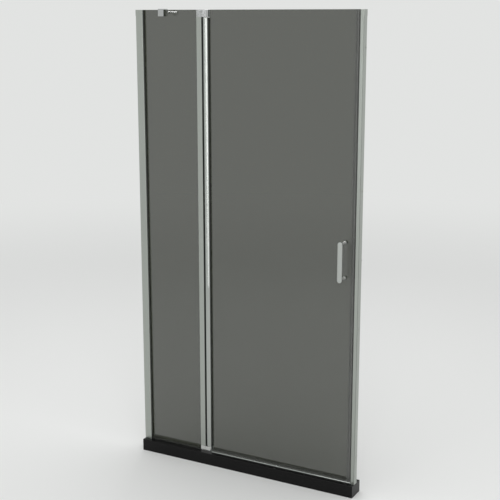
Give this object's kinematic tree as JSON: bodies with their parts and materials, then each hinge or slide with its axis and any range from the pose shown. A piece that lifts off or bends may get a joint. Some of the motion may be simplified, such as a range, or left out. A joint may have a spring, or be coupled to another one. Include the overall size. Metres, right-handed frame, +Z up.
{
  "type": "pivot shower door",
  "caption": "Pivot shower door set: fixed tinted glass panel, chrome pivot post, outward-swinging glass door with bar handle, strike profile, wall brace and black base bar.",
  "frame": {"origin": "middle of the set's width on the underside of the base bar, in the plane of the glass", "axes": "+X along the door from the fixed panel to the strike side, +Y into the shower, +Z up"},
  "size_m": [1, 0.3415, 1.9035],
  "materials": {
    "base_stone": "polished black",
    "satin_aluminium": "satin anodised",
    "polished_aluminium": "bright polished",
    "chrome": "mirror chrome",
    "satin_steel": "satin brushed",
    "tinted_glass": "grey tinted, clear polish",
    "black_rubber": "matt black",
    "clear_seal": "translucent",
    "magnet_strip": "matt dark grey",
    "nylon": "natural white",
    "soft_washer": "grey translucent",
    "screw_steel": "bright zinc"
  },
  "bodies": {
    "root": {"sill_base": "base_stone", "wall_channel_left": "satin_aluminium", "panel_profile_left": "satin_aluminium", "lock_screws_left": "screw_steel", "lock_screw_caps_left": "satin_aluminium", "end_cap_left": "satin_aluminium", "fixed_glass": "tinted_glass", "fixed_gasket_left": "black_rubber", "fixed_gasket_post": "black_rubber", "fixed_bottom_seal": "clear_seal", "pivot_post": "satin_aluminium", "post_wiper_seal": "black_rubber", "top_pivot_bracket": "chrome", "bottom_pivot_foot": "chrome", "pivot_pin_top": "screw_steel", "pivot_pin_bottom": "screw_steel", "bracket_screws": "screw_steel", "threshold_bar": "polished_aluminium", "wall_channel_right": "satin_aluminium", "strike_profile": "satin_aluminium", "lock_screws_right": "screw_steel", "lock_screw_caps_right": "satin_aluminium", "end_cap_right": "satin_aluminium", "strike_magnet_seal": "clear_seal", "strike_magnet": "magnet_strip", "brace_clamp": "chrome", "brace_clamp_pads": "soft_washer", "brace_clamp_screws": "screw_steel", "brace_clamp_pin": "chrome"},
    "door": {"door_glass": "tinted_glass", "pivot_stile": "polished_aluminium", "door_gasket": "black_rubber", "pivot_bush_top": "nylon", "pivot_bush_bottom": "nylon", "door_bottom_seal": "clear_seal", "door_magnet_seal": "clear_seal", "door_magnet": "magnet_strip", "handle_bar": "satin_steel", "handle_standoffs": "satin_steel", "handle_sleeves": "soft_washer", "handle_washers": "soft_washer", "handle_bolts": "screw_steel", "handle_inner_caps": "chrome"},
    "brace_arm": {"brace_arm": "chrome"},
    "brace_flange": {"brace_flange": "chrome", "brace_flange_pin": "chrome"}
  },
  "joints": [
    {"name": "door_swing", "type": "hinge", "parent": "root", "child": "door", "pos_m": [-0.1745, 0, 0.0741], "axis": [0, 0, -1], "range_deg": [0, 90]},
    {"name": "brace_swing", "type": "hinge", "parent": "root", "child": "brace_arm", "pos_m": [-0.38, 0.027, 1.889], "axis": [0, 0, 1], "range_deg": [-20, 20]},
    {"name": "flange_swivel", "type": "hinge", "parent": "brace_arm", "child": "brace_flange", "pos_m": [-0.486, 0.275, 1.889], "axis": [0, 0, 1], "range_deg": [-20, 20]}
  ]
}
